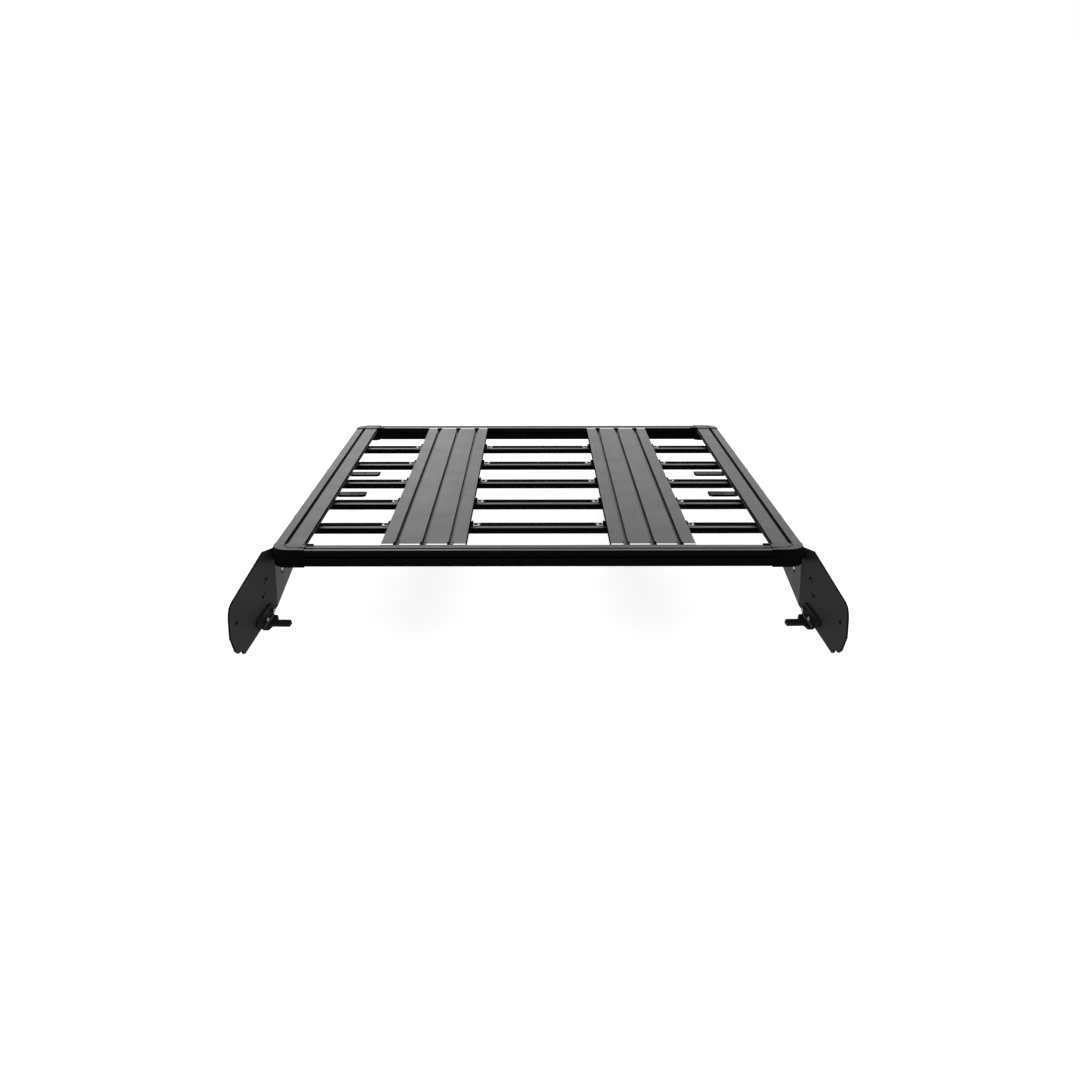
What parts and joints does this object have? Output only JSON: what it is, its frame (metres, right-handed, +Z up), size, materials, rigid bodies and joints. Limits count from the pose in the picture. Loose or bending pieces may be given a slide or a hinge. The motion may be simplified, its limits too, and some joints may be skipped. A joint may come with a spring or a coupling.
{
  "type": "flat platform roof rack",
  "caption": "Flat slotted-extrusion roof rack with deck planks, crossbars, moulded corners and folded side plates with clamp feet.",
  "frame": {"origin": "middle of the bounding box's underside, level with the front wing tips", "axes": "+X to the rack's right seen from the front, +Y from the front beam to the rear beam, +Z up"},
  "size_m": [1.401, 1.6314, 0.227],
  "materials": {
    "frame_metal": "satin black powder coat",
    "plank_metal": "textured black powder coat with a fine lengthwise grain",
    "corner_casting": "satin black, cast",
    "plate_metal": "fine-textured matt black powder coat",
    "bracket_metal": "black powder coat",
    "bolt_steel": "plain stainless steel"
  },
  "bodies": {
    "root": {"front_beam": "frame_metal", "rear_beam": "frame_metal", "left_side_rail": "frame_metal", "right_side_rail": "frame_metal", "front_left_corner": "corner_casting", "front_right_corner": "corner_casting", "rear_left_corner": "corner_casting", "rear_right_corner": "corner_casting", "crossbar_1": "frame_metal", "crossbar_2": "frame_metal", "crossbar_3": "frame_metal", "crossbar_4": "frame_metal", "crossbar_5": "frame_metal", "left_plank": "plank_metal", "right_plank": "plank_metal", "left_plank_clips": "bracket_metal", "right_plank_clips": "bracket_metal", "left_clip_bolts": "bolt_steel", "right_clip_bolts": "bolt_steel", "left_crossbar_brackets": "bracket_metal", "right_crossbar_brackets": "bracket_metal", "left_side_plate": "plate_metal", "right_side_plate": "plate_metal", "left_plate_bolts": "bolt_steel", "right_plate_bolts": "bolt_steel", "front_left_foot": "bracket_metal", "front_right_foot": "bracket_metal", "middle_left_foot": "bracket_metal", "middle_right_foot": "bracket_metal", "rear_left_foot": "bracket_metal", "rear_right_foot": "bracket_metal", "left_foot_bolts": "bolt_steel", "right_foot_bolts": "bolt_steel"}
  },
  "joints": []
}
